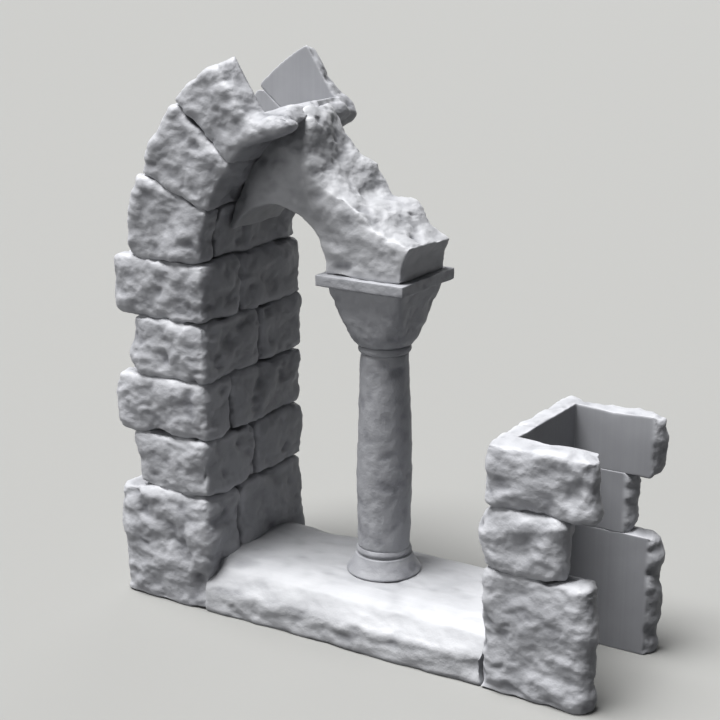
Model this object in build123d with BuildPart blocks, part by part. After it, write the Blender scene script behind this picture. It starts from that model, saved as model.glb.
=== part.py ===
"""Ruined two-light window frame for a gaming-table wall: a kit of cast stones that are glued together.

The frame clips round the cut edge of a foam wall board. Each jamb and the arch ring are a U-shaped channel:
a front leaf and a back leaf of stone, joined by a thin reveal that lines the opening. A column on the sill
carries a block of masonry with one small arch whole and the springing of the other.
X runs along the wall, Y through it (the front face is -Y) and Z up. The origin is at the middle of the base.
All sizes are in millimetres.
"""
from build123d import *
from math import cos, degrees, radians, sin, sqrt
import os

os.makedirs("parts", exist_ok=True)

# ---- the wall board and the channel that it slides into
board_thickness = 20.0
board_clearance = 0.3
leaf_thickness = 4.4
reveal_thickness = 3.5
channel_half = board_thickness / 2 + board_clearance
wall_half = channel_half + leaf_thickness

# ---- stones: courses, leaves and arrises
opening_half_width = 27.3
course_height = 10.5
base_course_height = 2 * course_height
short_leaf = 15.2
long_leaf = 19.7
broken_jamb_wear = 1.0
arris_radius = 1.0
glue_gap = 0.1

# Each jamb from the ground up: course height, leaf length along the wall, and the Y of the joint
# between the front and the back stone in the reveal.
left_courses = [
    (base_course_height, long_leaf, -4.9),
    (course_height, short_leaf, 0.2),
    (course_height, long_leaf, -6.8),
    (course_height, short_leaf, 2.0),
    (course_height, long_leaf, -3.4),
]
right_courses = [
    (base_course_height, long_leaf - broken_jamb_wear, -2.6),
    (course_height, short_leaf - broken_jamb_wear, 3.1),
    (course_height, long_leaf - broken_jamb_wear, -4.2),
]
springing_height = sum(course[0] for course in left_courses)

# ---- arch ring: nine voussoirs would close it, and three still stand on the left jamb
voussoir_angle = 180 / 9
voussoir_depths = [16.0, 15.2, 14.2]
voussoir_chamfer = 0.7
voussoir_splits = [-channel_half, 1.4, -5.8]
voussoirs_standing = len(voussoir_depths)
front_break_angle = 122.8
back_break_angle = 122.5
front_tongue_angle = 107.0
back_tongue_angle = 116.0

# ---- locating pegs and their sockets, on every bed and every radial joint
peg_radius = 0.8
peg_height = 1.4
peg_clearance = 0.1
socket_depth = peg_height + 0.3
peg_offsets = (3.5, 11.5)
peg_row = channel_half + leaf_thickness / 2

# ---- sill
sill_height = 9.4
sill_face_height = 4.5
sill_top_half_width = 10.6
sill_peg_height = 4.2
sill_peg_row = 9.6

# ---- column, from the sill up
base_radius = 6.6
base_neck_radius = 5.05
base_skirt_height = 3.0
base_groove_height = 0.5
base_bead_height = 1.1
base_height = base_skirt_height + base_groove_height + base_bead_height
shaft_foot_radius = 4.55
shaft_belly_radius = 4.75
shaft_head_radius = 4.1
necking_radius = 4.5
necking_height = 1.2
capital_height = 10.4
capital_half_width = 7.1
capital_foot_radius = 4.7
abacus_half_width = 8.45
abacus_thickness = 1.9
abacus_drop = 0.4
tenon_radius = 1.8
tenon_clearance = 0.1
tenon_length = 3.0
tenon_end_clearance = 0.3

# ---- masonry over the small arches
tympanum_half_thickness = 7.0
foot_half_width = 6.9
toe_rise = 5.0
stub_rise = 6.2


def written(name, builder):
    """Names a finished piece and writes it to its own STEP file."""
    builder.part.label = name
    export_step(builder.part, f"parts/{name}.step")


def on_plane(axis_index, value):
    """A test for edges that lie in the plane where one coordinate has the given value."""

    def test(edge):
        box = edge.bounding_box()
        low = tuple(box.min)[axis_index]
        high = tuple(box.max)[axis_index]
        return abs(low - value) < 0.01 and abs(high - value) < 0.01

    return test


# ---------------------------------------------------------------- jambs
def quoin(name, side, face, bed, course, has_bed_sockets, has_pegs, sill_socket):
    """An L-shaped corner stone: a leaf on one face of the wall and a return that lines the opening.

    side is -1 for the left jamb and +1 for the right; face is -1 for the front of the wall and +1 for the back.
    """
    height, leaf_length, split = course
    opening = side * opening_half_width
    outer_face = face * wall_half
    split_face = split + face * glue_gap / 2
    return_length = abs(outer_face - split_face)
    low = bed + glue_gap / 2 if has_bed_sockets else bed
    high = bed + height - glue_gap / 2
    leaf_end = side * (opening_half_width + leaf_length)
    peg_places = [(side * (opening_half_width + offset), face * peg_row) for offset in peg_offsets]

    with BuildPart() as stone:
        with BuildSketch(Plane.XY.offset(low)):
            with Locations(((opening + leaf_end) / 2, face * peg_row)):
                Rectangle(leaf_length, leaf_thickness)
            with Locations((opening + side * reveal_thickness / 2, (outer_face + split_face) / 2)):
                Rectangle(reveal_thickness, return_length)
        extrude(amount=high - low)

        face_edges = stone.edges().filter_by(on_plane(1, outer_face))
        level_edges = stone.edges().filter_by(Axis.Y)
        reveal_edges = level_edges.filter_by(on_plane(0, opening))
        end_edges = level_edges.filter_by(on_plane(0, leaf_end))
        fillet(face_edges + reveal_edges + end_edges, radius=arris_radius)

        if has_pegs:
            with Locations(*[(x, y, high) for x, y in peg_places]):
                Cylinder(peg_radius, peg_height, align=(Align.CENTER, Align.CENTER, Align.MIN))
        if has_bed_sockets:
            with Locations(*[(x, y, low) for x, y in peg_places]):
                Cylinder(
                    peg_radius + peg_clearance,
                    socket_depth,
                    align=(Align.CENTER, Align.CENTER, Align.MIN),
                    mode=Mode.SUBTRACT,
                )
        if sill_socket:
            reveal_plane = Plane(
                origin=(opening, face * sill_peg_row, sill_peg_height), x_dir=(0, 1, 0), z_dir=(side, 0, 0)
            )
            with BuildSketch(reveal_plane):
                Circle(peg_radius + peg_clearance)
            extrude(amount=socket_depth, mode=Mode.SUBTRACT)
    written(name, stone)


def jamb(jamb_name, side, courses, carries_arch):
    """Front and back stones of one jamb, course by course."""
    bed = 0.0
    for number, course in enumerate(courses, start=1):
        is_lowest = number == 1
        is_highest = number == len(courses)
        for face_name, face in (("front", -1), ("back", 1)):
            quoin(
                f"{jamb_name}_quoin_{number}_{face_name}",
                side,
                face,
                bed,
                course,
                has_bed_sockets=not is_lowest,
                has_pegs=carries_arch or not is_highest,
                sill_socket=is_lowest,
            )
        bed += course[0]


jamb("left", -1, left_courses, carries_arch=True)
jamb("right", 1, right_courses, carries_arch=False)


# ---------------------------------------------------------------- arch ring
def joint_plane(angle, radius, y):
    """A plane on a radial joint of the ring, facing towards the crown."""
    a = radians(angle)
    return Plane(
        origin=(radius * cos(a), y, springing_height + radius * sin(a)),
        x_dir=(0, 1, 0),
        z_dir=(sin(a), 0, -cos(a)),
    )


def voussoir(name, face, number, leaf_break_angle, web_break_angle):
    """A wedge stone of the ring: a leaf on one face of the wall and a web that lines the arch."""
    gap_angle = degrees(glue_gap / 2 / opening_half_width)
    start = 180 - voussoir_angle * (number - 1) - gap_angle
    full_end = 180 - voussoir_angle * number + gap_angle
    is_last = number == voussoirs_standing
    leaf_end = leaf_break_angle if is_last else full_end
    web_end = web_break_angle if is_last else full_end
    outer_face = face * wall_half
    split_face = voussoir_splits[number - 1] + face * glue_gap / 2
    centre = (0, springing_height)
    extrados = opening_half_width + voussoir_depths[number - 1]
    web_radius = opening_half_width + reveal_thickness
    peg_radii = [opening_half_width + offset for offset in peg_offsets]

    # The leaf and the web: mid plane, thickness, outer radius and the angle where each ends.
    limbs = [
        (face * peg_row, leaf_thickness, extrados, leaf_end),
        ((outer_face + split_face) / 2, abs(outer_face - split_face), web_radius, web_end),
    ]

    with BuildPart() as stone:
        for middle, thickness, outer_radius, end in limbs:
            with BuildSketch(Plane.XZ.offset(-middle)):
                with BuildLine():
                    inner_arc = CenterArc(centre, opening_half_width, end, start - end)
                    outer_arc = CenterArc(centre, outer_radius, end, start - end)
                    Line(inner_arc @ 0, outer_arc @ 0)
                    Line(inner_arc @ 1, outer_arc @ 1)
                make_face()
            extrude(amount=thickness / 2, both=True)

        chamfer(stone.edges().filter_by(on_plane(1, outer_face)), length=voussoir_chamfer)

        for radius in peg_radii:
            with BuildSketch(joint_plane(start, radius, face * peg_row)):
                Circle(peg_radius + peg_clearance)
            extrude(amount=socket_depth, mode=Mode.SUBTRACT)
            if not is_last:
                with BuildSketch(joint_plane(full_end, radius, face * peg_row)):
                    Circle(peg_radius)
                extrude(amount=peg_height)
    written(name, stone)


for voussoir_number in range(1, voussoirs_standing + 1):
    voussoir(f"voussoir_{voussoir_number}_front", -1, voussoir_number, front_break_angle, front_tongue_angle)
    voussoir(f"voussoir_{voussoir_number}_back", 1, voussoir_number, back_break_angle, back_tongue_angle)


# ---------------------------------------------------------------- sill
sill_half_length = opening_half_width - glue_gap
with BuildPart() as sill:
    with BuildSketch(Plane.YZ):
        with BuildLine():
            Polyline(
                (-wall_half, 0),
                (wall_half, 0),
                (wall_half, sill_face_height),
                (sill_top_half_width, sill_height),
                (-sill_top_half_width, sill_height),
                (-wall_half, sill_face_height),
                close=True,
            )
        make_face()
    extrude(amount=sill_half_length, both=True)
    fillet(sill.edges().filter_by(Axis.X).group_by(Axis.Z)[-1], radius=2 * arris_radius)
    fillet(sill.edges().filter_by(Axis.X).group_by(Axis.Z)[0], radius=arris_radius / 2)
    for side in (-1, 1):
        for face in (-1, 1):
            end_plane = Plane(
                origin=(side * sill_half_length, face * sill_peg_row, sill_peg_height),
                x_dir=(0, 1, 0),
                z_dir=(side, 0, 0),
            )
            with BuildSketch(end_plane):
                Circle(peg_radius)
            extrude(amount=peg_height)
    with Locations((0, 0, sill_height)):
        Hole(tenon_radius + tenon_clearance, depth=tenon_length + tenon_end_clearance)
written("sill", sill)

# ---------------------------------------------------------------- column
base_foot = sill_height + glue_gap / 2
base_top = base_foot + base_height
with BuildPart() as column_base:
    skirt_foot = (base_radius, base_foot + 0.4)
    skirt_top = (base_neck_radius, base_foot + base_skirt_height - 0.2)
    groove_low = base_foot + base_skirt_height
    groove_high = groove_low + base_groove_height
    bore = tenon_radius + tenon_clearance
    with BuildSketch(Plane.XZ):
        with BuildLine():
            Polyline((bore, base_foot), (base_radius, base_foot), skirt_foot)
            TangentArc(skirt_foot, skirt_top, tangent=(-1, 0.35))
            Polyline(
                skirt_top,
                (base_neck_radius, groove_low),
                (shaft_foot_radius, groove_low),
                (shaft_foot_radius, groove_high),
            )
            ThreePointArc(
                (shaft_foot_radius, groove_high),
                (base_neck_radius - 0.1, groove_high + base_bead_height / 2),
                (shaft_foot_radius, base_top),
            )
            Polyline((shaft_foot_radius, base_top), (bore, base_top), (bore, base_foot))
        make_face()
    revolve(axis=Axis.Z)
written("column_base", column_base)

abacus_top = springing_height - abacus_drop
abacus_foot = abacus_top - abacus_thickness
capital_top = abacus_foot - glue_gap
capital_foot = capital_top - capital_height
necking_top = capital_foot - glue_gap
necking_foot = necking_top - necking_height
shaft_top = necking_foot - glue_gap
shaft_foot = base_top + glue_gap
with BuildPart() as column_shaft:
    with BuildSketch(Plane.XZ):
        with BuildLine():
            tenon_foot = sill_height - tenon_length
            tenon_head = capital_foot + tenon_length
            Polyline(
                (0, shaft_top),
                (0, tenon_foot),
                (tenon_radius, tenon_foot),
                (tenon_radius, shaft_foot),
                (shaft_foot_radius, shaft_foot),
            )
            Spline(
                (shaft_foot_radius, shaft_foot),
                (shaft_belly_radius, shaft_foot + 0.4 * (shaft_top - shaft_foot)),
                (shaft_head_radius, shaft_top),
            )
            Polyline(
                (shaft_head_radius, shaft_top),
                (tenon_radius, shaft_top),
                (tenon_radius, tenon_head),
                (0, tenon_head),
                (0, shaft_top),
            )
        make_face()
    revolve(axis=Axis.Z)
written("column_shaft", column_shaft)

with BuildPart() as column_necking:
    with Locations((0, 0, necking_foot)):
        Cylinder(necking_radius, necking_height, align=(Align.CENTER, Align.CENTER, Align.MIN))
    fillet(column_necking.edges(), radius=0.45 * necking_height)
    with Locations((0, 0, necking_top)):
        Hole(tenon_radius + tenon_clearance, depth=necking_height)
written("column_necking", column_necking)

# The capital swells from the round shaft to the square abacus: height share, half width, corner radius.
capital_sections = [
    (0.0, capital_foot_radius, 0.98 * capital_foot_radius),
    (0.14, 5.45, 4.6),
    (0.34, 5.75, 3.0),
    (0.6, 6.2, 1.4),
    (1.0, capital_half_width, 0.7),
]
with BuildPart() as column_capital:
    for share, half_width, corner in capital_sections:
        with BuildSketch(Plane.XY.offset(capital_foot + share * capital_height)):
            RectangleRounded(2 * half_width, 2 * half_width, corner)
    loft()
    with Locations((0, 0, capital_foot)):
        Cylinder(
            tenon_radius + tenon_clearance,
            tenon_length + tenon_end_clearance,
            align=(Align.CENTER, Align.CENTER, Align.MIN),
            mode=Mode.SUBTRACT,
        )
    with Locations((0, 0, capital_top)):
        Hole(tenon_radius + tenon_clearance, depth=tenon_length + tenon_end_clearance)
written("column_capital", column_capital)

with BuildPart() as column_abacus:
    with Locations((0, 0, abacus_foot)):
        Box(
            2 * abacus_half_width,
            2 * abacus_half_width,
            abacus_thickness,
            align=(Align.CENTER, Align.CENTER, Align.MIN),
        )
    chamfer(column_abacus.edges(), length=0.15)
    with Locations((0, 0, abacus_top)):
        Hole(tenon_radius + tenon_clearance, depth=abacus_thickness)
written("column_abacus", column_abacus)

# ---------------------------------------------------------------- masonry over the small arches
small_arch_radius = (opening_half_width - foot_half_width) / 2
small_arch_centre = (opening_half_width + foot_half_width) / 2
ring_underside = opening_half_width - glue_gap
tympanum_foot = abacus_top + glue_gap
stub_x = small_arch_centre - sqrt(small_arch_radius**2 - stub_rise**2)
# The broken edge, from the stub of the right-hand arch up to the ring: X, and height over the springing.
broken_edge = [
    (stub_x, stub_rise),
    (5.6, 7.4),
    (4.8, 9.5),
    (2.0, 11.0),
    (-1.9, 12.2),
    (-4.2, 15.9),
    (-6.6, 17.4),
    (-10.4, 20.4),
    (-12.2, 24.6),
]
with BuildPart() as tympanum:
    with BuildSketch(Plane.XZ):
        with Locations((0, springing_height)):
            Circle(ring_underside)
        with Locations((-small_arch_centre, springing_height), (small_arch_centre, springing_height)):
            Circle(small_arch_radius, mode=Mode.SUBTRACT)
        with Locations((0, tympanum_foot)):
            Rectangle(
                4 * opening_half_width,
                2 * opening_half_width,
                align=(Align.CENTER, Align.MAX),
                mode=Mode.SUBTRACT,
            )
        with Locations((-opening_half_width, springing_height + toe_rise)):
            Rectangle(
                2 * small_arch_radius,
                toe_rise + 1,
                align=(Align.CENTER, Align.MAX),
                mode=Mode.SUBTRACT,
            )
        with BuildLine():
            top = springing_height + 1.1 * opening_half_width
            far = 1.1 * opening_half_width
            edge_points = [(x, springing_height + rise) for x, rise in broken_edge]
            Polyline(
                *edge_points,
                (edge_points[-1][0], top),
                (far, top),
                (far, tympanum_foot - 1),
                (small_arch_centre, tympanum_foot - 1),
                (small_arch_centre, springing_height + stub_rise),
                close=True,
            )
        make_face(mode=Mode.SUBTRACT)
    extrude(amount=tympanum_half_thickness, both=True)
    with Locations((0, 0, tympanum_foot)):
        Cylinder(
            tenon_radius,
            glue_gap + abacus_thickness + tenon_length,
            align=(Align.CENTER, Align.CENTER, Align.MAX),
        )
written("tympanum", tympanum)
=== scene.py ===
import bpy
import math
import numpy as np
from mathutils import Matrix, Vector


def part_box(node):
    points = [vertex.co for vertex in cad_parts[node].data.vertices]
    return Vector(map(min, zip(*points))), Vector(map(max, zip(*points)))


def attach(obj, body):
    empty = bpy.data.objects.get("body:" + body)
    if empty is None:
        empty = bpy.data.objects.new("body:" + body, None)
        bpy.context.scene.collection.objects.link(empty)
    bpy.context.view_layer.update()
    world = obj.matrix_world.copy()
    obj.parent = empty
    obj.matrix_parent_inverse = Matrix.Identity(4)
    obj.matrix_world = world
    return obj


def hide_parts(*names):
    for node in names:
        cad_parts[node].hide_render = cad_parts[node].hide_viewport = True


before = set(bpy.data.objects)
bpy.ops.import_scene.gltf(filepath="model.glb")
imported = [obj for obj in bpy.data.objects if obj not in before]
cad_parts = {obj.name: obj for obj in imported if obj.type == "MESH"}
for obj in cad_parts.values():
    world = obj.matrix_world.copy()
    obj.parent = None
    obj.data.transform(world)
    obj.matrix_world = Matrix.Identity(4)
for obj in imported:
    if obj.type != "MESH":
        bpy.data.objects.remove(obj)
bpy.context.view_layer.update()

# ------------------------------------------------------------------------------------------------
# Jamb quoins: L-shaped corner stones, a front and a back one to each course. The real ones are cast
# in grey polyurethane resin from a hand-carved master, so their faces are dented and their arrises
# rounded, while the channel that takes the wall board is as flat as the mould's steel core.
# ------------------------------------------------------------------------------------------------
# All sizes are in mm; the finished pieces are in metres. Half the opening, and the thickness of its lining:
OPENING = 27.3
REVEAL = 3.5
# Half the channel that takes the board, and how close to its flat faces the weathering starts.
CHANNEL_HALF = 10.3
CHANNEL_EASE = 0.7
# Heights of the beds; the arch springs from the last.
COURSE_TOPS = (21.0, 31.5, 42.0, 52.5, 63.0)
SPRINGING = COURSE_TOPS[-1]
# Side of a face of the skin, how far a stone runs into its neighbour, and how far its faces stand proud.
STONE_GRAIN = 0.3
BURIED = 0.12
PROUD = 0.45
# A leaf's free end bulges: each point's distance back from the end and in from the wall face.
LEAF_END_BULGE = ((2.0, 0.0), (0.5, 0.9), (0.0, 2.2))
# The same, with the distance out from the channel.
LEAF_END_INSIDE = ((0.5, 1.0), (1.4, 0.0))
# Its two corners seen from the front, and the one on the floor.
LEAF_CORNER = 1.7
FLOOR_CORNER = 0.8


def colour(code):
    """An sRGB hex colour as linear red, green, blue and alpha."""
    parts = [int(code[i:i + 2], 16) / 255 for i in (1, 3, 5)]
    return tuple(c / 12.92 if c <= 0.04045 else ((c + 0.055) / 1.055) ** 2.4 for c in parts) + (1.0,)


def add(tree, kind, inputs=None, **settings):
    """Adds a node. An input goes by its socket's name or number, and is a value or another node's output."""
    node = tree.nodes.new(kind)
    for key, value in settings.items():
        setattr(node, key, value)
    for key, value in (inputs or {}).items():
        if isinstance(value, bpy.types.NodeSocket):
            tree.links.new(value, node.inputs[key])
        else:
            node.inputs[key].default_value = value
    return node


def cast_resin(name, pale, deep, streak):
    """Light grey cast resin with a matt, faintly grainy skin. A painted highlight makes the arrises lighter and
    painted shade makes the hollows darker; flat channel faces keep the fine upright lines of the mould core."""
    material = bpy.data.materials.new(name)
    material.use_nodes = True
    tree = material.node_tree
    skin = tree.nodes["Principled BSDF"]
    skin.inputs["IOR"].default_value = 1.5
    cloud_size, dimple_size, grit_size, bump_depth = 0.006, 0.0013, 0.0003, 0.00022
    place = add(tree, "ShaderNodeTexCoord").outputs["Object"]
    painted_hollow_shade = add(tree, "ShaderNodeAttribute", attribute_name="painted_hollow_shade").outputs["Fac"]
    arris = add(tree, "ShaderNodeAttribute", attribute_name="arris").outputs["Fac"]
    worn = add(tree, "ShaderNodeAttribute", attribute_name="worn").outputs["Fac"]
    # Clouding of the resin, 6 mm across.
    cloud = add(tree, "ShaderNodeTexNoise", {"Vector": place, "Scale": 1 / cloud_size, "Detail": 4.0}).outputs["Fac"]
    shade = add(tree, "ShaderNodeMath", {0: cloud, 1: 0.35, 2: 0.36}, operation="MULTIPLY_ADD").outputs[0]
    # Painted highlight: the arrises are coloured lighter.
    shade = add(tree, "ShaderNodeMath", {0: arris, 1: 0.3, 2: shade}, operation="MULTIPLY_ADD").outputs[0]
    # Painted shade: the dents and pits are coloured darker.
    shade = add(tree, "ShaderNodeMath", {0: painted_hollow_shade, 1: -0.8, 2: shade}, operation="MULTIPLY_ADD", use_clamp=True)
    tint = add(tree, "ShaderNodeMix", {"Factor": shade.outputs[0], 6: colour(deep), 7: colour(pale)},
               data_type="RGBA")
    # Upright lines 0.5 mm apart on the channel's faces.
    lines = add(tree, "ShaderNodeMapping", {"Vector": place, "Scale": (2000.0, 2000.0, 25.0)}).outputs["Vector"]
    lines = add(tree, "ShaderNodeTexNoise", {"Vector": lines, "Scale": 1.0, "Detail": 1.0}).outputs["Fac"]
    flat = add(tree, "ShaderNodeMath", {0: 1.0, 1: worn}, operation="SUBTRACT", use_clamp=True).outputs[0]
    marked = add(tree, "ShaderNodeMath", {0: flat, 1: streak}, operation="MULTIPLY").outputs[0]
    lined = add(tree, "ShaderNodeMix", {"Factor": lines, 6: colour("#D8D8DA"), 7: colour("#FFFFFF")},
                data_type="RGBA")
    final = add(tree, "ShaderNodeMix", {"Factor": marked, 6: tint.outputs[2], 7: lined.outputs[2]},
                data_type="RGBA", blend_type="MULTIPLY")
    tree.links.new(final.outputs[2], skin.inputs["Base Color"])
    # Grain of the master's surface, 1.3 mm dimples and 0.3 mm grit.
    dimple = add(tree, "ShaderNodeTexNoise", {"Vector": place, "Scale": 1 / dimple_size, "Detail": 3.0})
    dimple = dimple.outputs["Fac"]
    grit = add(tree, "ShaderNodeTexNoise", {"Vector": place, "Scale": 1 / grit_size, "Detail": 2.0}).outputs["Fac"]
    relief = add(tree, "ShaderNodeMath", {0: grit, 1: 0.3, 2: dimple}, operation="MULTIPLY_ADD").outputs[0]
    relief = add(tree, "ShaderNodeMath", {0: relief, 1: worn}, operation="MULTIPLY").outputs[0]
    bump = add(tree, "ShaderNodeBump", {"Height": relief, "Strength": 0.7, "Distance": bump_depth})
    tree.links.new(bump.outputs["Normal"], skin.inputs["Normal"])
    gloss = add(tree, "ShaderNodeMath", {0: cloud, 1: 0.12, 2: 0.5}, operation="MULTIPLY_ADD").outputs[0]
    tree.links.new(gloss, skin.inputs["Roughness"])
    return material


def weathering_tree():
    """Rounds the arrises of a blocked-out stone, then swells, dents and pits its faces where 'worn' is 1."""
    tree = bpy.data.node_groups.new("weathered stone", "GeometryNodeTree")
    sizes = [
        ("Arris passes", "NodeSocketInt"), ("Swell size", "NodeSocketFloat"), ("Swell depth", "NodeSocketFloat"),
        ("Dent size", "NodeSocketFloat"), ("Dent depth", "NodeSocketFloat"), ("Pit size", "NodeSocketFloat"),
        ("Pit depth", "NodeSocketFloat"), ("Chip depth", "NodeSocketFloat"), ("Stretch", "NodeSocketVector"),
        ("Seed", "NodeSocketFloat"), ("Resin", "NodeSocketMaterial"),
    ]
    tree.interface.new_socket("Stone", in_out="INPUT", socket_type="NodeSocketGeometry")
    for name, kind in sizes:
        tree.interface.new_socket(name, in_out="INPUT", socket_type=kind)
    tree.interface.new_socket("Stone", in_out="OUTPUT", socket_type="NodeSocketGeometry")
    given = add(tree, "NodeGroupInput").outputs
    worn = add(tree, "GeometryNodeInputNamedAttribute", {"Name": "worn"}, data_type="FLOAT").outputs[0]
    here = add(tree, "GeometryNodeInputPosition").outputs[0]
    normal = add(tree, "GeometryNodeInputNormal").outputs[0]
    eased = add(tree, "GeometryNodeBlurAttribute",
                {"Value": here, "Iterations": given["Arris passes"], "Weight": worn},
                data_type="FLOAT_VECTOR").outputs[0]
    shift = add(tree, "ShaderNodeVectorMath", {0: eased, 1: here}, operation="SUBTRACT").outputs[0]
    length = add(tree, "ShaderNodeVectorMath", {0: shift}, operation="LENGTH").outputs["Value"]
    # How far the rounding moved each point marks the arris; this places the chips and the painted highlight in the
    # material.
    arris = add(tree, "ShaderNodeMath", {0: length, 1: 2.5}, operation="MULTIPLY", use_clamp=True).outputs[0]
    shift = add(tree, "ShaderNodeVectorMath", {0: shift, "Scale": worn}, operation="SCALE").outputs[0]
    kept = add(tree, "GeometryNodeStoreNamedAttribute", {"Geometry": given["Stone"], "Name": "arris", "Value": arris},
               data_type="FLOAT", domain="POINT")
    rounded = add(tree, "GeometryNodeSetPosition", {"Geometry": kept.outputs[0], "Offset": shift}).outputs[0]

    place = add(tree, "ShaderNodeVectorMath", {0: here, 1: given["Stretch"]}, operation="MULTIPLY").outputs[0]
    offset = None
    # Two layers of noise: their size and depth inputs, detail, shift of the seed, and twist.
    layers = [("Swell size", "Swell depth", 1.0, 0.0, 0.0), ("Dent size", "Dent depth", 3.0, 17.0, 0.25)]
    for size, depth, detail, turn, twist in layers:
        seed = add(tree, "ShaderNodeMath", {0: given["Seed"], 1: turn}, operation="ADD").outputs[0]
        scale = add(tree, "ShaderNodeMath", {0: 1.0, 1: given[size]}, operation="DIVIDE").outputs[0]
        noise = add(tree, "ShaderNodeTexNoise", {
            "Vector": place, "W": seed, "Scale": scale, "Detail": detail, "Roughness": 0.45, "Distortion": twist,
        }, noise_dimensions="4D").outputs["Fac"]
        centred = add(tree, "ShaderNodeMath", {0: noise, 1: 0.5}, operation="SUBTRACT").outputs[0]
        centred = add(tree, "ShaderNodeMath", {0: centred, 1: 2.0}, operation="MULTIPLY").outputs[0]
        deep = add(tree, "ShaderNodeMath", {0: centred, 1: given[depth]}, operation="MULTIPLY").outputs[0]
        if offset is None:
            offset = deep
        else:
            offset = add(tree, "ShaderNodeMath", {0: offset, 1: deep}, operation="ADD").outputs[0]
    dent = centred
    # Pits: the middles of random cells, only where a broad noise lets them be.
    pit_seed = add(tree, "ShaderNodeMath", {0: given["Seed"], 1: 31.0}, operation="ADD").outputs[0]
    pit_scale = add(tree, "ShaderNodeMath", {0: 1.0, 1: given["Pit size"]}, operation="DIVIDE").outputs[0]
    cells = add(tree, "ShaderNodeTexVoronoi", {"Vector": place, "W": pit_seed, "Scale": pit_scale},
                voronoi_dimensions="4D", feature="SMOOTH_F1").outputs["Distance"]
    pit = add(tree, "ShaderNodeMapRange", {"Value": cells, 1: 0.55, 2: 0.15, 3: 0.0, 4: 1.0},
              interpolation_type="SMOOTHSTEP").outputs[0]
    patch = add(tree, "ShaderNodeTexNoise", {"Vector": place, "W": pit_seed, "Scale": 0.28, "Detail": 1.0},
                noise_dimensions="4D").outputs["Fac"]
    patch = add(tree, "ShaderNodeMapRange", {"Value": patch, 1: 0.46, 2: 0.6, 3: 0.0, 4: 1.0},
                interpolation_type="SMOOTHSTEP").outputs[0]
    pit = add(tree, "ShaderNodeMath", {0: pit, 1: patch}, operation="MULTIPLY").outputs[0]
    pitted = add(tree, "ShaderNodeMath", {0: pit, 1: given["Pit depth"]}, operation="MULTIPLY").outputs[0]
    offset = add(tree, "ShaderNodeMath", {0: offset, 1: pitted}, operation="SUBTRACT").outputs[0]
    # Chips knocked out of the arrises.
    chip = add(tree, "ShaderNodeTexNoise", {"Vector": place, "W": pit_seed, "Scale": 0.42, "Detail": 2.0},
               noise_dimensions="4D").outputs["Fac"]
    chip = add(tree, "ShaderNodeMapRange", {"Value": chip, 1: 0.5, 2: 0.68, 3: 0.0, 4: 1.0},
               interpolation_type="SMOOTHSTEP").outputs[0]
    edge = add(tree, "GeometryNodeInputNamedAttribute", {"Name": "arris"}, data_type="FLOAT").outputs[0]
    chip = add(tree, "ShaderNodeMath", {0: chip, 1: edge}, operation="MULTIPLY").outputs[0]
    chip = add(tree, "ShaderNodeMath", {0: chip, 1: given["Chip depth"]}, operation="MULTIPLY").outputs[0]
    offset = add(tree, "ShaderNodeMath", {0: offset, 1: chip}, operation="SUBTRACT").outputs[0]
    offset = add(tree, "ShaderNodeMath", {0: offset, 1: worn}, operation="MULTIPLY").outputs[0]
    move = add(tree, "ShaderNodeVectorMath", {0: normal, "Scale": offset}, operation="SCALE").outputs[0]

    # How deep each point lies in a dent or pit, stored so the material can paint shade there.
    low = add(tree, "ShaderNodeMath", {0: dent, 1: -1.1}, operation="MULTIPLY").outputs[0]
    low = add(tree, "ShaderNodeMath", {0: pit, 1: 0.6, 2: low}, operation="MULTIPLY_ADD").outputs[0]
    low = add(tree, "ShaderNodeMath", {0: low, 1: worn}, operation="MULTIPLY", use_clamp=True).outputs[0]
    kept = add(tree, "GeometryNodeStoreNamedAttribute", {"Geometry": rounded, "Name": "painted_hollow_shade", "Value": low},
               data_type="FLOAT", domain="POINT")
    dented = add(tree, "GeometryNodeSetPosition", {"Geometry": kept.outputs[0], "Offset": move}).outputs[0]
    smooth = add(tree, "GeometryNodeSetShadeSmooth", {"Geometry": dented}).outputs[0]
    real = add(tree, "GeometryNodeRealizeInstances", {"Geometry": smooth}).outputs[0]
    painted = add(tree, "GeometryNodeSetMaterial", {"Geometry": real, "Material": given["Resin"]}).outputs[0]
    add(tree, "NodeGroupOutput", {0: painted})
    return tree


WEATHERING = weathering_tree()


def faces_round(n, count):
    """Faces of a closed solid whose corners come in rings of n, its two ends flat."""
    faces = [list(range(n))[::-1], list(range(count - n, count))]
    for base in range(0, count - n, n):
        faces += [[base + i, base + (i + 1) % n, base + n + (i + 1) % n, base + n + i] for i in range(n)]
    return faces


def loft(rows, along="Z"):
    """Corners and faces of a solid through outlines of equal length, each with its level. Along 'Z' an outline
    is in X and Y, along 'Y' in X and Z, along 'X' in Y and Z."""
    turned_to = {"Z": lambda a, b, level: (a, b, level), "Y": lambda a, b, level: (a, level, b),
                 "X": lambda a, b, level: (level, a, b)}[along]
    corners = [turned_to(a, b, level) for outline, level in rows for a, b in outline]
    return corners, faces_round(len(rows[0][0]), len(corners))


def evaluated(thing):
    """The object's mesh with its modifiers applied, and the object removed."""
    bpy.context.view_layer.update()
    result = bpy.data.meshes.new_from_object(thing.evaluated_get(bpy.context.evaluated_depsgraph_get()))
    bpy.data.objects.remove(thing)
    return result


def smoothstep(low, high, value):
    t = np.clip((value - low) / (high - low), 0, 1)
    return t * t * (3 - 2 * t)


def block_out(shells, grain):
    """Overlapping closed shells joined into one even skin of faces, each side about one grain long."""
    corners, faces = [], []
    for shell_corners, shell_faces in shells:
        faces += [[i + len(corners) for i in face] for face in shell_faces]
        corners += shell_corners
    mesh = bpy.data.meshes.new("blocked out")
    mesh.from_pydata(corners, [], faces)
    thing = bpy.data.objects.new("blocked out", mesh)
    bpy.context.scene.collection.objects.link(thing)
    skin = thing.modifiers.new("skin", "REMESH")
    skin.mode = "VOXEL"
    skin.voxel_size = grain
    return evaluated(thing)


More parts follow.
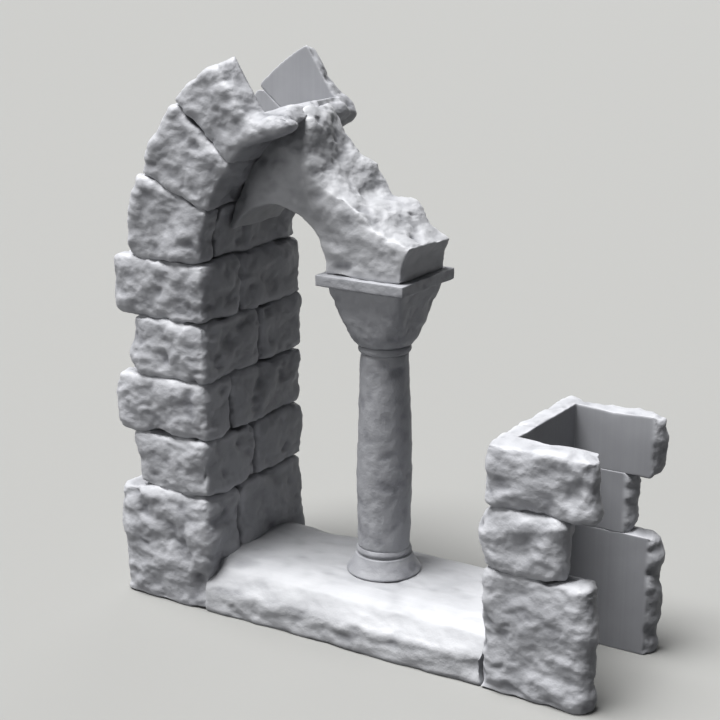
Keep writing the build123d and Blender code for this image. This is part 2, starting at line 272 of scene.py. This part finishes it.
def points_of(mesh):
    places = np.zeros(len(mesh.vertices) * 3)
    mesh.vertices.foreach_get("co", places)
    return places.reshape(-1, 3)


def put_points(mesh, places):
    mesh.vertices.foreach_set("co", places.ravel())
    mesh.update()


def work(mesh, strokes):
    """Pushes the skin along its own normal round each stroke: (x, y, z, reach, amount), out if it is positive."""
    places = points_of(mesh)
    directions = np.zeros(len(mesh.vertices) * 3, np.float32)
    mesh.vertex_normals.foreach_get("vector", directions)
    directions = directions.reshape(-1, 3)
    for x, y, z, reach, amount in strokes:
        away = np.linalg.norm(places - (x, y, z), axis=1) / reach
        places += directions * (amount * np.exp(-2.2 * away ** 2))[:, None]
    put_points(mesh, places)


def keep_channel_flat(mesh):
    """Puts the skin back on the flat faces of the board channel, and says how far each point is from them."""
    close = 0.35
    places = points_of(mesh)
    above = places[:, 2] > SPRINGING
    rise = np.where(above, places[:, 2] - SPRINGING, 0.0)
    radius = np.hypot(places[:, 0], rise)
    depth = np.abs(places[:, 1])
    bottom = OPENING + REVEAL
    on_side = (np.abs(depth - CHANNEL_HALF) < close) & (radius > bottom - 0.1)
    on_bottom = (np.abs(radius - bottom) < close) & (depth < CHANNEL_HALF + 0.1) & ~on_side
    places[on_side, 1] = np.sign(places[on_side, 1]) * CHANNEL_HALF
    pull = np.where(on_bottom, bottom / np.maximum(radius, 1e-6), 1.0)
    places[:, 0] *= pull
    places[:, 2] = np.where(above, SPRINGING + rise * pull, places[:, 2])
    put_points(mesh, places)
    return np.maximum(depth - CHANNEL_HALF, bottom - radius)


def weather(name, mesh, worn, resin, seed, **depths):
    """Runs the weathering on a blocked-out mesh in mm and returns the finished piece in metres."""
    mesh.attributes.new("worn", "FLOAT", "POINT").data.foreach_set("value", worn.astype(np.float32))
    thing = bpy.data.objects.new(name, mesh)
    bpy.context.scene.collection.objects.link(thing)
    values = {
        "Arris passes": 45, "Swell size": 8.0, "Swell depth": 1.1, "Dent size": 3.6, "Dent depth": 1.0,
        "Pit size": 2.6, "Pit depth": 0.4, "Chip depth": 0.12, "Stretch": (0.88, 0.88, 1.1), "Seed": seed,
        "Resin": resin,
    }
    values.update({key.replace("_", " ").capitalize(): value for key, value in depths.items()})
    nodes = thing.modifiers.new("weathering", "NODES")
    nodes.node_group = WEATHERING
    for socket in WEATHERING.interface.items_tree:
        if socket.in_out == "INPUT" and socket.name in values:
            nodes[socket.identifier] = values[socket.name]
    finished = evaluated(thing)
    places = points_of(finished)
    places[:, 2] = np.maximum(places[:, 2], 0.0)
    put_points(finished, places / 1000)
    piece = bpy.data.objects.new(name, finished)
    bpy.context.scene.collection.objects.link(piece)
    return piece


def hand_over(piece, node):
    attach(piece, "root")
    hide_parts(node)


def round_leaf_end(mesh, end, bed, top):
    """Rounds the two corners of a leaf's free end, seen from the front, without turning its faces."""
    places = points_of(mesh)
    along = end - np.abs(places[:, 0])
    for level, radius in ((bed, FLOOR_CORNER if bed == 0 else LEAF_CORNER), (top, LEAF_CORNER)):
        up = np.abs(places[:, 2] - level)
        inward, upward = np.maximum(radius - along, 0), np.maximum(radius - up, 0)
        over = np.hypot(inward, upward)
        pull = np.where(over > radius, radius / np.maximum(over, 1e-6), 1.0)
        places[:, 0] += np.sign(places[:, 0]) * inward * (pull - 1)
        places[:, 2] += (1 if level == bed else -1) * upward * (1 - pull)
    put_points(mesh, places)


jamb_resin = cast_resin("cast resin, jambs", "#BBBCC0", "#76777C", 0.4)
# Where the carver's hand shows: proud and sunk places on single stones, (x, y, z, reach, amount).
jamb_strokes = {
    "left_quoin_1_front": [(-27, -15, 2.5, 4.5, -1.5), (-47, -12.5, 18, 3.5, 0.7), (-47, -13, 14.5, 1.6, -0.8),
                           (-47, -13, 4, 5, -0.7), (-36, -14.7, 12, 3.5, -0.8), (-41, -14.7, 17.5, 2.2, -0.5),
                           (-31, -14.7, 16, 3, 0.5)],
    "left_quoin_1_back": [(-27.3, 12, 12, 4, 0.8)],
    "left_quoin_2_front": [(-42.5, -13, 24, 2.5, -0.5), (-33, -14.7, 26, 3, 0.4)],
    "left_quoin_3_front": [(-47, -12.5, 37, 4, 0.5), (-38, -14.7, 37, 2.4, -0.7)],
    "left_quoin_4_front": [(-42.5, -13, 48, 2.5, -0.8), (-36, -14.7, 47.5, 2.6, -0.9), (-31, -14.7, 50, 2.5, 0.5)],
    "left_quoin_5_back": [(-27.3, 8, 62.3, 1.4, 0.7), (-27.3, 9.8, 60.3, 1.7, 0.9), (-27.3, 14.7, 62, 3, -1.0),
                          (-27.3, 14.7, 55, 3, -0.4)],
    "left_quoin_5_front": [(-44, -14.7, 58, 3, -0.5), (-34, -14.7, 60, 3.4, 0.5)],
    "right_quoin_1_front": [(30, -14.7, 18, 2.2, -0.6), (38, -14.7, 9, 3, -0.7), (44, -14.7, 19, 3, 0.6),
                            (46, -13, 21, 2.5, 0.5)],
    "right_quoin_2_front": [(27.3, -12, 26.5, 5, 1.6), (34, -14.7, 24, 2.5, -0.6)],
    "right_quoin_3_front": [(27.3, -12, 36.5, 5, 0.9), (42, -14.7, 36, 2.6, -0.9), (33, -14.7, 40, 3, -0.6),
                            (36, -12.5, 42, 2.5, -0.5)],
    "right_quoin_3_back": [(46, 12.5, 36, 4, 0.4), (38, 12.5, 42, 3, -0.5)],
}
# Leaves that the carver left a little longer than the pattern, in mm.
LEAF_GROWTH = {"left_quoin_2_front": 0.8, "left_quoin_4_front": 0.9, "left_quoin_5_front": 0.4}
open_tops = ("right_quoin_3_front", "right_quoin_3_back")
JAMB_SEED, SEED_STEP = 3.0, 5.3
for jamb, side, courses in (("left", -1, 5), ("right", 1, 3)):
    for course in range(1, courses + 1):
        for leaf, face in (("front", -1), ("back", 1)):
            node = f"{jamb}_quoin_{course}_{leaf}"
            low, high = (corner * 1000 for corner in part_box(node))
            bed = 0.0 if course == 1 else COURSE_TOPS[course - 2] - BURIED
            top = COURSE_TOPS[course - 1] + (0.0 if node in open_tops else BURIED)
            leaf_end = high.x if side > 0 else low.x
            outer, split = (low.y, high.y) if face < 0 else (high.y, low.y)
            split -= face * BURIED
            corner_x = side * (OPENING + REVEAL)
            leaf_end += side * (PROUD + LEAF_GROWTH.get(node, 0.0))
            outer += face * PROUD
            reveal = side * (OPENING - PROUD)
            outline = [(reveal, outer)]
            outline += [(leaf_end - side * back, outer - face * inward) for back, inward in LEAF_END_BULGE]
            outline += [(leaf_end - side * back, face * (CHANNEL_HALF + out)) for back, out in LEAF_END_INSIDE]
            outline += [(corner_x, face * CHANNEL_HALF), (corner_x, split), (reveal, split)]
            mesh = block_out([loft([(outline, bed), (outline, top)])], STONE_GRAIN)
            round_leaf_end(mesh, abs(leaf_end), bed, top)
            work(mesh, jamb_strokes.get(node, []))
            away = keep_channel_flat(mesh)
            places = points_of(mesh)
            # The joint in the reveal stays tight, the leaf's tip is rough all round, and the foot is crisper.
            seam = smoothstep(1.2, 2.2, np.abs(places[:, 0]) - OPENING)
            seam = seam * (1 - smoothstep(0.2, 1.2, np.abs(places[:, 1] - split)))
            tip = smoothstep(2.2, 1.0, abs(leaf_end) - np.abs(places[:, 0]))
            foot = smoothstep(-1.0, 1.0, places[:, 2])
            worn = np.maximum(smoothstep(0.0, CHANNEL_EASE, away), tip) * (1 - seam) * foot
            piece = weather(f"{node}_stone", mesh, worn, jamb_resin, JAMB_SEED + SEED_STEP * course)
            hand_over(piece, node)

# ------------------------------------------------------------------------------------------------
# Arch ring: three voussoirs still stand on the left jamb, in front and at the back. Each is a wedge
# with a thin web under it that lines the arch. The front of the third keeps a tongue of web that
# runs on under the missing fourth.
# ------------------------------------------------------------------------------------------------
VOUSSOIR_ANGLE = 20.0
# For each number: its depth, how far its back drops towards its upper end, and its two outer corners' radii.
VOUSSOIR_DEPTHS = (15.9, 14.9, 14.9)
BACK_DROPS = (0.5, 0.3, 1.1)
CORNER_REACHES = ((1.2, 2.6), (1.6, 2.6), (1.2, 0.9))
BURIED_ANGLE = 0.25
ARCH_SEED = 61.0
# Where the web breaks off: y, the end's angle on its soffit and on its back, and the back's radius.
FRONT_WEB_ENDS = ((-15.15, 106.5, 109.0, 29.7), (-13.6, 107.0, 110.5, 30.6), (-11.5, 108.8, 112.5, 30.8),
                  (-9.2, 112.0, 115.0, 30.8), (-7.2, 114.5, 117.0, 30.8), (1.0, 116.5, 118.5, 30.8))
BACK_WEB_ENDS = ((-6.1, 118.5, 120.5, 30.2), (0.2, 118.0, 120.0, 30.2), (0.6, 117.0, 119.0, 30.8),
                 (5.0, 117.5, 119.5, 30.8), (10.3, 119.5, 121.0, 30.8), (15.1, 123.5, 124.0, 30.8))
# The same for the leaves, on the channel's side and on the wall's face.
FRONT_LEAF_ENDS, BACK_LEAF_ENDS = (122.8, 124.2), (122.5, 124.9)


def ring_outline(inner, outer, start, end, outer_end=None, drop=0.0):
    """A sector of the ring in X and Z; its end may slant and its back may drop."""
    steps = 30
    result = []
    for radius, last, fall in ((inner, end, 0.0), (outer, end if outer_end is None else outer_end, drop)):
        angles = [math.radians(start + (last - start) * i / steps) for i in range(steps + 1)]
        reaches = [radius - fall * i / steps for i in range(steps + 1)]
        arc = [(r * math.cos(a), SPRINGING + r * math.sin(a)) for r, a in zip(reaches, angles)]
        result += arc if radius == inner else arc[::-1]
    return result


def round_extrados(mesh, outside, start, end, reaches):
    """Rounds a voussoir's two outer corners, seen from the front."""
    places = points_of(mesh)
    rise = places[:, 2] - SPRINGING
    radius = np.hypot(places[:, 0], rise)
    angle = np.arctan2(rise, places[:, 0]) % (2 * math.pi)
    for edge, reach, turn in ((start, reaches[0], 1), (end, reaches[1], -1)):
        down = np.maximum(reach - (outside - radius), 0)
        inward = np.clip(reach - turn * (math.radians(edge) - angle) * radius, 0, reach)
        over = np.hypot(down, inward)
        pull = np.where(over > reach, reach / np.maximum(over, 1e-6), 1.0)
        radius = radius + down * (pull - 1)
        angle = angle + turn * inward * (pull - 1) / np.maximum(radius, 1)
    places[:, 0] = radius * np.cos(angle)
    places[:, 2] = SPRINGING + radius * np.sin(angle)
    put_points(mesh, places)


arch_resin = cast_resin("cast resin, arch", "#BCBDC1", "#77787D", 0.4)
arch_strokes = {
    "voussoir_1_front": [(-43, -12.5, 69, 3, 0.5), (-35, -14.7, 68, 3, -0.5)],
    "voussoir_1_back": [(-26.6, 12.6, 69.4, 1.5, 0.9), (-26.9, 10.4, 67.6, 1.6, 1.0), (-27, 8.3, 65.6, 1.6, 1.0),
                        (-27, 9.6, 64, 1.5, 0.8), (-27.3, 14.7, 65.5, 2.6, -1.6)],
    "voussoir_2_front": [(-37, -12.5, 84, 3, -0.5), (-33, -14.7, 80, 3.5, -0.5)],
    "voussoir_3_front": [(-30, -12.5, 97, 3.5, -0.9), (-27, -14.7, 93, 2.5, -0.7), (-13, -14.7, 89.5, 1.6, 0.4),
                         (-10.5, -13.5, 89.5, 1.5, -0.4)],
    "voussoir_3_back": [(-22, 14, 97.5, 3, -0.8), (-16, 14.7, 86.5, 2.5, 0.5), (-19, 14.7, 93, 3, -0.6)],
}
for number in (1, 2, 3):
    for leaf, face in (("front", -1), ("back", 1)):
        node = f"voussoir_{number}_{leaf}"
        low, high = (corner * 1000 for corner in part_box(node))
        outer, split = (low.y, high.y) if face < 0 else (high.y, low.y)
        start = 180 - VOUSSOIR_ANGLE * (number - 1)
        leaf_end = start - VOUSSOIR_ANGLE - BURIED_ANGLE
        start += BURIED_ANGLE
        split -= face * BURIED
        outer += face * PROUD
        extrados = OPENING + VOUSSOIR_DEPTHS[number - 1] + PROUD
        leaf_ends = (leaf_end, leaf_end)
        broken = number == 3
        if broken:
            leaf_ends = FRONT_LEAF_ENDS if face < 0 else BACK_LEAF_ENDS
            web = [(ring_outline(OPENING, back, start, inner_end, outer_end), y)
                   for y, inner_end, outer_end, back in (FRONT_WEB_ENDS if face < 0 else BACK_WEB_ENDS)]
        else:
            web = [(ring_outline(OPENING, OPENING + REVEAL, start, leaf_end), y) for y in sorted((outer, split))]
        leaf = [(ring_outline(OPENING, extrados, start, end, drop=BACK_DROPS[number - 1]), y)
                for end, y in zip(leaf_ends, (face * CHANNEL_HALF, outer))]
        mesh = block_out([loft(leaf, "Y"), loft(web, "Y")], STONE_GRAIN)
        round_extrados(mesh, extrados, start, leaf_ends[0], CORNER_REACHES[number - 1])
        if broken and face < 0:
            # The tongue hangs lower towards its tip.
            tongue_drop = 1.4
            places = points_of(mesh)
            hang = smoothstep(-18.0, -12.5, places[:, 0]) * smoothstep(-6.5, -10.5, places[:, 1])
            places[:, 2] -= tongue_drop * hang
            put_points(mesh, places)
        work(mesh, arch_strokes.get(node, []))
        away = keep_channel_flat(mesh)
        worn = smoothstep(0.0, CHANNEL_EASE, away)
        if broken:
            # The web is rough all round where the fourth voussoir tore away.
            places = points_of(mesh)
            angle = np.degrees(np.arctan2(places[:, 2] - SPRINGING, places[:, 0]))
            worn = np.maximum(worn, smoothstep(120.5, 118.5, angle))
        seed = ARCH_SEED + SEED_STEP * number + face
        piece = weather(f"{node}_stone", mesh, worn, arch_resin, seed, arris_passes=34)
        hand_over(piece, node)

# ------------------------------------------------------------------------------------------------
# Sill: one long slab between the jambs, its front and back arrises worn to broad slopes. Its top is
# dressed in long shallow strokes along the wall, and it is cast in the same grey resin.
# ------------------------------------------------------------------------------------------------
# Height of the upright faces, half the width of the top, and the side of a face of the skin.
SILL_FACE = 4.5
SILL_TOP_HALF = 10.6
SILL_GRAIN = 0.32
low, high = (corner * 1000 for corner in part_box("sill"))
left_end, right_end = -OPENING - 1.0, OPENING - 0.1
section = [
    (low.y, 0.0), (high.y, 0.0), (high.y, SILL_FACE),
    (SILL_TOP_HALF + 1.5, high.z - 1.5), (SILL_TOP_HALF, high.z - 0.6), (SILL_TOP_HALF - 2.5, high.z),
    (2.5 - SILL_TOP_HALF, high.z), (-SILL_TOP_HALF, high.z - 0.6), (-SILL_TOP_HALF - 1.5, high.z - 1.5),
    (low.y, SILL_FACE),
]
mesh = block_out([loft([(section, left_end), (section, right_end)], "X")], SILL_GRAIN)
work(mesh, [(-27, -14, 8.5, 3, -0.9), (2, -14.7, 3, 5, 0.5), (26, -14, 3, 3, -0.8), (-12, -13, 6, 4, 0.4),
            (10, -13, 6.5, 3, -0.4), (24, 10, 9.4, 4, -0.5), (-18, 12, 8, 4, -0.5)])
places = points_of(mesh)
# The dressed top and the worn slopes are smoother than the broken faces under them.
dressed = smoothstep(SILL_FACE + 0.2, SILL_FACE + 1.0, places[:, 2])
worn = 1 - 0.55 * dressed
sill_resin = cast_resin("cast resin, sill", "#C4C5C8", "#85868A", 0.0)
piece = weather("sill_slab", mesh, worn, sill_resin, 201.0, arris_passes=4, swell_size=9.0, swell_depth=0.7,
                dent_size=2.6, dent_depth=0.55, pit_depth=0.3, stretch=(0.55, 1.0, 1.0))
hand_over(piece, "sill")

# ------------------------------------------------------------------------------------------------
# Column: base, shaft, necking ring, cushion capital and abacus, turned or filed and then cast. The
# shaft swells a little in the middle; the capital goes from round below to square above.
# ------------------------------------------------------------------------------------------------
column_resin = cast_resin("cast resin, column", "#B0B1B5", "#7A7B80", 0.0)
ROUND_STEPS = 128
SQUARE_STEPS = 192
CAPITAL_RINGS = 36


def eased_profile(points, step):
    """A profile (radius, height) with points added so that none is further apart than step."""
    result = []
    for (r0, z0), (r1, z1) in zip(points, points[1:]):
        count = max(1, int(math.hypot(r1 - r0, z1 - z0) / step))
        result += [(r0 + (r1 - r0) * i / count, z0 + (z1 - z0) * i / count) for i in range(count)]
    return result + [points[-1]]


def skin_of_rings(rings):
    """A closed mesh through rings of equal length, from the lowest up, with flat ends."""
    corners = [corner for ring in rings for corner in ring]
    mesh = bpy.data.meshes.new("turned")
    mesh.from_pydata(corners, [], faces_round(len(rings[0]), len(corners)))
    mesh.update()
    return mesh


def turned(profile, step=0.25):
    rings = []
    for radius, height in eased_profile(profile, step):
        angles = [2 * math.pi * i / ROUND_STEPS for i in range(ROUND_STEPS)]
        rings.append([(radius * math.cos(a), radius * math.sin(a), height) for a in angles])
    return skin_of_rings(rings)


base_low, base_high = (corner.z * 1000 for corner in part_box("column_base"))
# Skirt, rim, groove and bead, as radius and height over the sill.
BASE_TURNING = (
    (6.3, 0.0), (6.5, 0.05), (6.55, 0.25), (6.25, 0.7), (5.85, 1.25), (5.5, 1.9), (5.22, 2.5), (5.05, 2.85),
    (5.0, 3.0), (5.0, 3.12), (4.88, 3.2), (4.5, 3.22), (4.42, 3.35), (4.45, 3.6), (4.76, 3.66), (4.86, 3.8),
    (4.84, 4.0), (4.72, 4.35),
)
base_profile = [(radius, base_low + rise) for radius, rise in BASE_TURNING] + [(4.55, base_high)]
mesh = turned(base_profile, 0.15)
piece = weather("column_base_ring", mesh, np.full(len(mesh.vertices), 1.0), column_resin, 211.0, arris_passes=1,
                swell_depth=0.08, dent_depth=0.07, pit_depth=0.0, chip_depth=0.0)
hand_over(piece, "column_base")

ring_low, ring_high = (corner.z * 1000 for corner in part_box("column_necking"))
shaft_profile = [(4.5 + 0.3 * math.sin(math.pi * min(1.0, 1.15 * t)) - 0.42 * t ** 2.2,
                  base_high - 0.05 + (ring_low + 0.1 - base_high) * t) for t in (i / 40 for i in range(41))]
mesh = turned(shaft_profile, 0.3)
piece = weather("column_shaft_drum", mesh, np.full(len(mesh.vertices), 1.0), column_resin, 223.0, arris_passes=0,
                swell_size=5.0, swell_depth=0.22, dent_size=2.2, dent_depth=0.24, pit_depth=0.12, chip_depth=0.0)
hand_over(piece, "column_shaft")

middle = (ring_low + ring_high) / 2
ring_profile = [(4.1, ring_low - 0.05)]
ring_profile += [(4.1 + 0.45 * math.cos(a), middle + 0.62 * math.sin(a)) for a in np.linspace(-1.4, 1.4, 15)]
ring_profile += [(4.1, ring_high + 0.1)]
mesh = turned(ring_profile, 0.12)
piece = weather("column_necking_ring", mesh, np.full(len(mesh.vertices), 1.0), column_resin, 227.0, arris_passes=0,
                swell_depth=0.1, dent_depth=0.1, pit_depth=0.0, chip_depth=0.0)
hand_over(piece, "column_necking")

# The capital from round to square: share of its height, half its width, and its corners' radius.
CAPITAL_SECTIONS = ((0.0, 4.55, 4.5), (0.05, 4.95, 4.75), (0.14, 5.45, 4.6), (0.34, 5.85, 3.2), (0.6, 6.3, 1.7),
                    (1.0, 7.15, 0.8))
capital_low, capital_high = (corner.z * 1000 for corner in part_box("column_capital"))


def rounded_square(half, corner_radius, count):
    """Points round a square with rounded corners, starting at the middle of its right side."""
    points = []
    for i in range(count):
        a = 2 * math.pi * i / count
        c, s = math.cos(a), math.sin(a)
        reach = half / max(abs(c), abs(s))
        x, y = reach * c, reach * s
        core = half - corner_radius
        if abs(x) > core and abs(y) > core:
            # Where the ray from the middle meets the corner's arc.
            cx, cy = math.copysign(core, x), math.copysign(core, y)
            b = c * cx + s * cy
            reach = b + math.sqrt(max(b * b - cx * cx - cy * cy + corner_radius ** 2, 0.0))
            x, y = reach * c, reach * s
        points.append((x, y))
    return points


rings = []
for step in range(CAPITAL_RINGS + 1):
    share = step / CAPITAL_RINGS
    k = max(i for i in range(len(CAPITAL_SECTIONS) - 1) if CAPITAL_SECTIONS[i][0] <= share)
    (s0, h0, r0), (s1, h1, r1) = CAPITAL_SECTIONS[k:k + 2]
    t = (share - s0) / (s1 - s0)
    half, corner_radius = h0 + (h1 - h0) * t, r0 + (r1 - r0) * t
    height = capital_low + (capital_high - capital_low) * share
    rings.append([(x, y, height) for x, y in rounded_square(half, corner_radius, SQUARE_STEPS)])
mesh = skin_of_rings(rings)
piece = weather("column_capital_block", mesh, np.full(len(mesh.vertices), 1.0), column_resin, 229.0, arris_passes=3,
                swell_size=5.0, swell_depth=0.3, dent_size=2.4, dent_depth=0.5, pit_depth=0.2, chip_depth=0.0)
hand_over(piece, "column_capital")

low, high = (corner * 1000 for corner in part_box("column_abacus"))
plate = [(low.x, low.y), (high.x, low.y), (high.x, high.y), (low.x, high.y)]
ABACUS_GRAIN = 0.2
mesh = block_out([loft([(plate, low.z), (plate, high.z)])], ABACUS_GRAIN)
piece = weather("column_abacus_plate", mesh, np.full(len(mesh.vertices), 1.0), column_resin, 233.0, arris_passes=1,
                swell_depth=0.1, dent_size=2.0, dent_depth=0.12, pit_depth=0.0, chip_depth=0.3)
hand_over(piece, "column_abacus")

# ------------------------------------------------------------------------------------------------
# Masonry over the small arches: one carved block that stands on the abacus. The left arch is whole,
# the right one is broken off just above its springing, and the break climbs in rough steps.
# ------------------------------------------------------------------------------------------------
FOOT_HALF = 7.3
BURIED_IN_RING = 0.25
small_radius = (OPENING - FOOT_HALF) / 2
small_centre = (OPENING + FOOT_HALF) / 2
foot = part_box("column_abacus")[1].z * 1000
# The break, from the stub of the right small arch up to the ring, as X and Z at five depths from front to back.
BREAKS = {
    -7.3: [(8.6, 69.3), (5.4, 69.9), (2.8, 70.7), (0.0, 73.0), (-2.4, 74.7), (-3.6, 75.9), (-6.3, 76.4),
           (-10.0, 78.2), (-10.6, 80.6), (-12.6, 82.7), (-16.0, 83.1), (-18.7, 83.2), (-19.2, 83.4)],
    -5.2: [(8.3, 69.2), (5.6, 69.8), (3.4, 70.7), (0.9, 72.9), (-2.2, 74.2), (-3.6, 75.4), (-5.6, 76.7),
           (-9.2, 79.2), (-10.0, 81.4), (-10.4, 83.8), (-10.6, 86.0), (-11.3, 88.1), (-13.7, 89.5)],
    -2.5: [(8.2, 69.1), (6.0, 69.7), (4.3, 70.8), (1.7, 72.7), (-2.0, 73.8), (-3.6, 75.0), (-4.6, 76.6),
           (-8.3, 79.2), (-9.6, 81.4), (-10.4, 83.6), (-10.7, 86.0), (-11.5, 88.2), (-13.9, 89.6)],
    2.0: [(7.5, 68.8), (5.2, 69.6), (4.4, 70.9), (2.4, 73.2), (-2.0, 73.9), (-5.2, 74.6), (-5.4, 76.2),
          (-8.0, 79.6), (-9.4, 81.6), (-10.9, 84.0), (-11.7, 86.2), (-12.4, 88.2), (-14.6, 89.6)],
    7.2: [(8.0, 68.3), (4.9, 69.9), (4.4, 71.6), (2.5, 73.8), (-2.1, 74.5), (-4.4, 77.8), (-5.2, 79.6),
          (-8.4, 81.0), (-10.4, 82.2), (-11.4, 83.5), (-12.5, 85.4), (-13.5, 87.5), (-15.6, 89.2)],
}


def tympanum_outline(breaks):
    """Round the block in X and Z from the foot's left end: the small arch, the ring, the break and the stub."""
    ring = OPENING + BURIED_IN_RING
    left_arch = [(-small_centre + small_radius * math.cos(a), SPRINGING + small_radius * math.sin(a))
                 for a in np.linspace(0, math.radians(150), 40)]
    toe = left_arch[-1]
    start = math.pi - math.asin((toe[1] - SPRINGING) / ring)
    end = math.atan2(breaks[-1][1] - SPRINGING, breaks[-1][0]) + 0.12
    under_ring = [(ring * math.cos(a), SPRINGING + ring * math.sin(a)) for a in np.linspace(start, end, 30)]
    top = breaks[0]
    stub_end = math.asin(min(1.0, (top[1] - SPRINGING) / small_radius))
    stub = [(small_centre - small_radius * math.cos(a), SPRINGING + small_radius * math.sin(a))
            for a in np.linspace(stub_end * 0.9, 0, 8)]
    return [(-FOOT_HALF, foot)] + left_arch + under_ring + breaks[::-1] + stub + [(FOOT_HALF, foot)]


mesh = block_out([loft([(tympanum_outline(breaks), y) for y, breaks in BREAKS.items()], "Y")], STONE_GRAIN)
# Lumps and hollows of the break, then small pits in the front face and nicks in its broken arris.
break_strokes = [(-11.5, -3, 84, 1.8, -0.7), (-6, 2, 80, 2.5, -0.4), (-3.5, -3, 76, 2.0, 0.5), (1, 1, 74, 2.0, -0.5),
                 (3.6, 3, 71.5, 1.6, -0.5), (5.6, -2, 70.2, 1.6, 0.5)]
front_strokes = [(-11.6, -7, 77.6, 1.0, -0.7), (-4.4, -7, 74.4, 0.9, -0.5), (-5.6, -7, 67.8, 1.0, -0.6),
                 (5.5, -7.3, 69.9, 1.6, -0.4), (1.5, -7.3, 71.8, 1.8, -0.45), (-1.2, -7.3, 73.9, 1.5, 0.5),
                 (-4.5, -7.3, 76.1, 2.2, -0.4), (-8, -7.3, 77.4, 2.2, -0.4), (-13.2, -7, 74.2, 0.9, -0.5),
                 (-4.0, -7, 63.6, 1.3, -0.6)]
work(mesh, break_strokes + front_strokes)
tympanum_resin = cast_resin("cast resin, infill", "#BFC0C3", "#797A7F", 0.0)
places = points_of(mesh)
# The foot, the arris of the small arch and the stub are crisper and smoother than the break, and the front
# face is a little smoother.
away = np.hypot(places[:, 0] + small_centre, places[:, 2] - SPRINGING) - small_radius
carved = np.maximum(smoothstep(2.5, 0.5, away), smoothstep(SPRINGING + 2, foot + 0.5, places[:, 2]))
carved = np.maximum(carved, smoothstep(5.8, 6.6, places[:, 0]) * smoothstep(69.5, 68.0, places[:, 2]))
front_face = smoothstep(-6.2, -7.0, places[:, 1])
worn = 1 - 0.6 * np.maximum(carved, 0.4 * front_face)
piece = weather("tympanum_block", mesh, worn, tympanum_resin, 241.0, arris_passes=34,
                swell_size=6.0, swell_depth=0.8, dent_size=2.8, dent_depth=0.9, pit_size=2.2, pit_depth=0.4)
hand_over(piece, "tympanum")

# ------------------------------------------------------------------------------------------------
# Studio: a plain pale floor that curves up all round, a broad light overhead,
# weaker ones in front and behind, and the camera.
# ------------------------------------------------------------------------------------------------
# The paper's section in metres, from its flat middle to its upturned edge.
FLOOR_PROFILE = [(0.5, 0.0), (2.3, 0.0), (2.5, 0.03), (2.66, 0.12), (2.76, 0.3), (2.8, 0.55), (2.8, 1.6)]
FLOOR_STEPS = 96
turns = [2 * math.pi * i / FLOOR_STEPS for i in range(FLOOR_STEPS)]
floor_corners = [(r * math.cos(a), r * math.sin(a), z) for r, z in FLOOR_PROFILE for a in turns]
floor_faces = [list(range(FLOOR_STEPS))]
for base in range(0, len(floor_corners) - FLOOR_STEPS, FLOOR_STEPS):
    for i in range(FLOOR_STEPS):
        after = (i + 1) % FLOOR_STEPS
        floor_faces.append([base + i, base + FLOOR_STEPS + i, base + FLOOR_STEPS + after, base + after])
floor_mesh = bpy.data.meshes.new("floor")
floor_mesh.from_pydata(floor_corners, [], floor_faces)
floor_mesh.polygons.foreach_set("use_smooth", [True] * len(floor_faces))
floor = bpy.data.objects.new("floor", floor_mesh)
bpy.context.scene.collection.objects.link(floor)
paper = bpy.data.materials.new("pale paper")
paper.use_nodes = True
paper_skin = paper.node_tree.nodes["Principled BSDF"]
paper_skin.inputs["Base Color"].default_value = colour("#888886")
paper_skin.inputs["Roughness"].default_value = 0.9
floor_mesh.materials.append(paper)
# The paper throws no light back up and its curved edge stops none, so the undersides stay in shade.
floor.visible_diffuse = False
floor.visible_shadow = False

# Each light's strength, how wide it is in radians, and where it stands.
for name, energy, spread, towards in (("overhead key", 7.1, 0.6, (-0.2, -0.21, 0.95)),
                                      ("front fill", 0.8, 0.6, (-0.42, -0.88, 0.2)),
                                      ("back fill", 0.7, 0.6, (-0.3, 0.9, 0.3))):
    lamp = bpy.data.lights.new(name, "SUN")
    lamp.energy = energy
    lamp.angle = spread
    stand = bpy.data.objects.new(name, lamp)
    stand.rotation_euler = Vector(towards).to_track_quat("Z", "Y").to_euler()
    bpy.context.scene.collection.objects.link(stand)
world = bpy.data.worlds.new("studio")
world.use_nodes = True
sky = world.node_tree.nodes["Background"]
sky.inputs["Color"].default_value = colour("#EEF0F4")
sky.inputs["Strength"].default_value = 0.1
bpy.context.scene.world = world

# The camera looks from the right of the front, and a little down.
CAMERA_TURN, CAMERA_DROP = 32.43, 16.0
view = bpy.data.cameras.new("camera")
view.lens = 84.7
view.sensor_width = 36.0
camera = bpy.data.objects.new("camera", view)
camera.location = (0.14401, -0.2345, 0.12614)
camera.rotation_euler = (math.radians(90 - CAMERA_DROP), 0.0, math.radians(CAMERA_TURN))
bpy.context.scene.collection.objects.link(camera)
bpy.context.scene.camera = camera
bpy.context.scene.view_settings.view_transform = "Standard"
